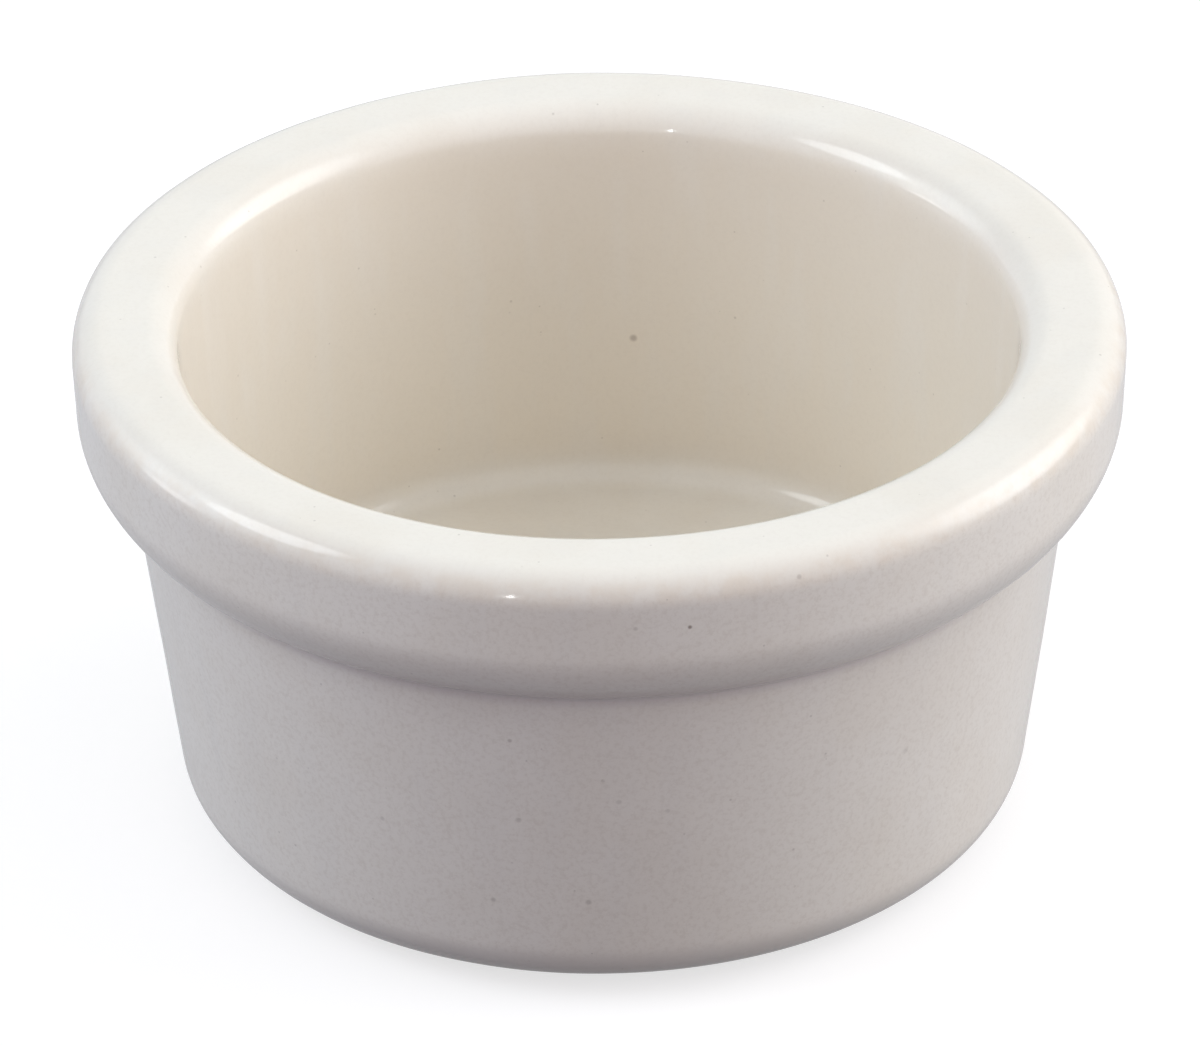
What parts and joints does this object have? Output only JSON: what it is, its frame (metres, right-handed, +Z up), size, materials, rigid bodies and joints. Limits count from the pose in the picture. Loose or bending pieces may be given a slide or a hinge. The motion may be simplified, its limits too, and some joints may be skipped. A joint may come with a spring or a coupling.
{
  "type": "ramekin",
  "caption": "Small round glazed stoneware ramekin with a thick rounded band at the rim, a tapered wall, a flat inside floor and a dry foot ring.",
  "frame": {"origin": "middle of the plane that the foot ring stands on", "axes": "+Z up along the ramekin's axis, out of its mouth; +X and +Y are square to it and alike, because the piece is round"},
  "size_m": [0.0886, 0.0886, 0.046],
  "materials": {
    "stoneware_clay": "dry bisque, matt",
    "white_glaze": "glossy off-white glaze"
  },
  "bodies": {
    "root": {"clay_body": "stoneware_clay", "glaze_coat": "white_glaze", "underside_glaze": "white_glaze"}
  },
  "joints": []
}
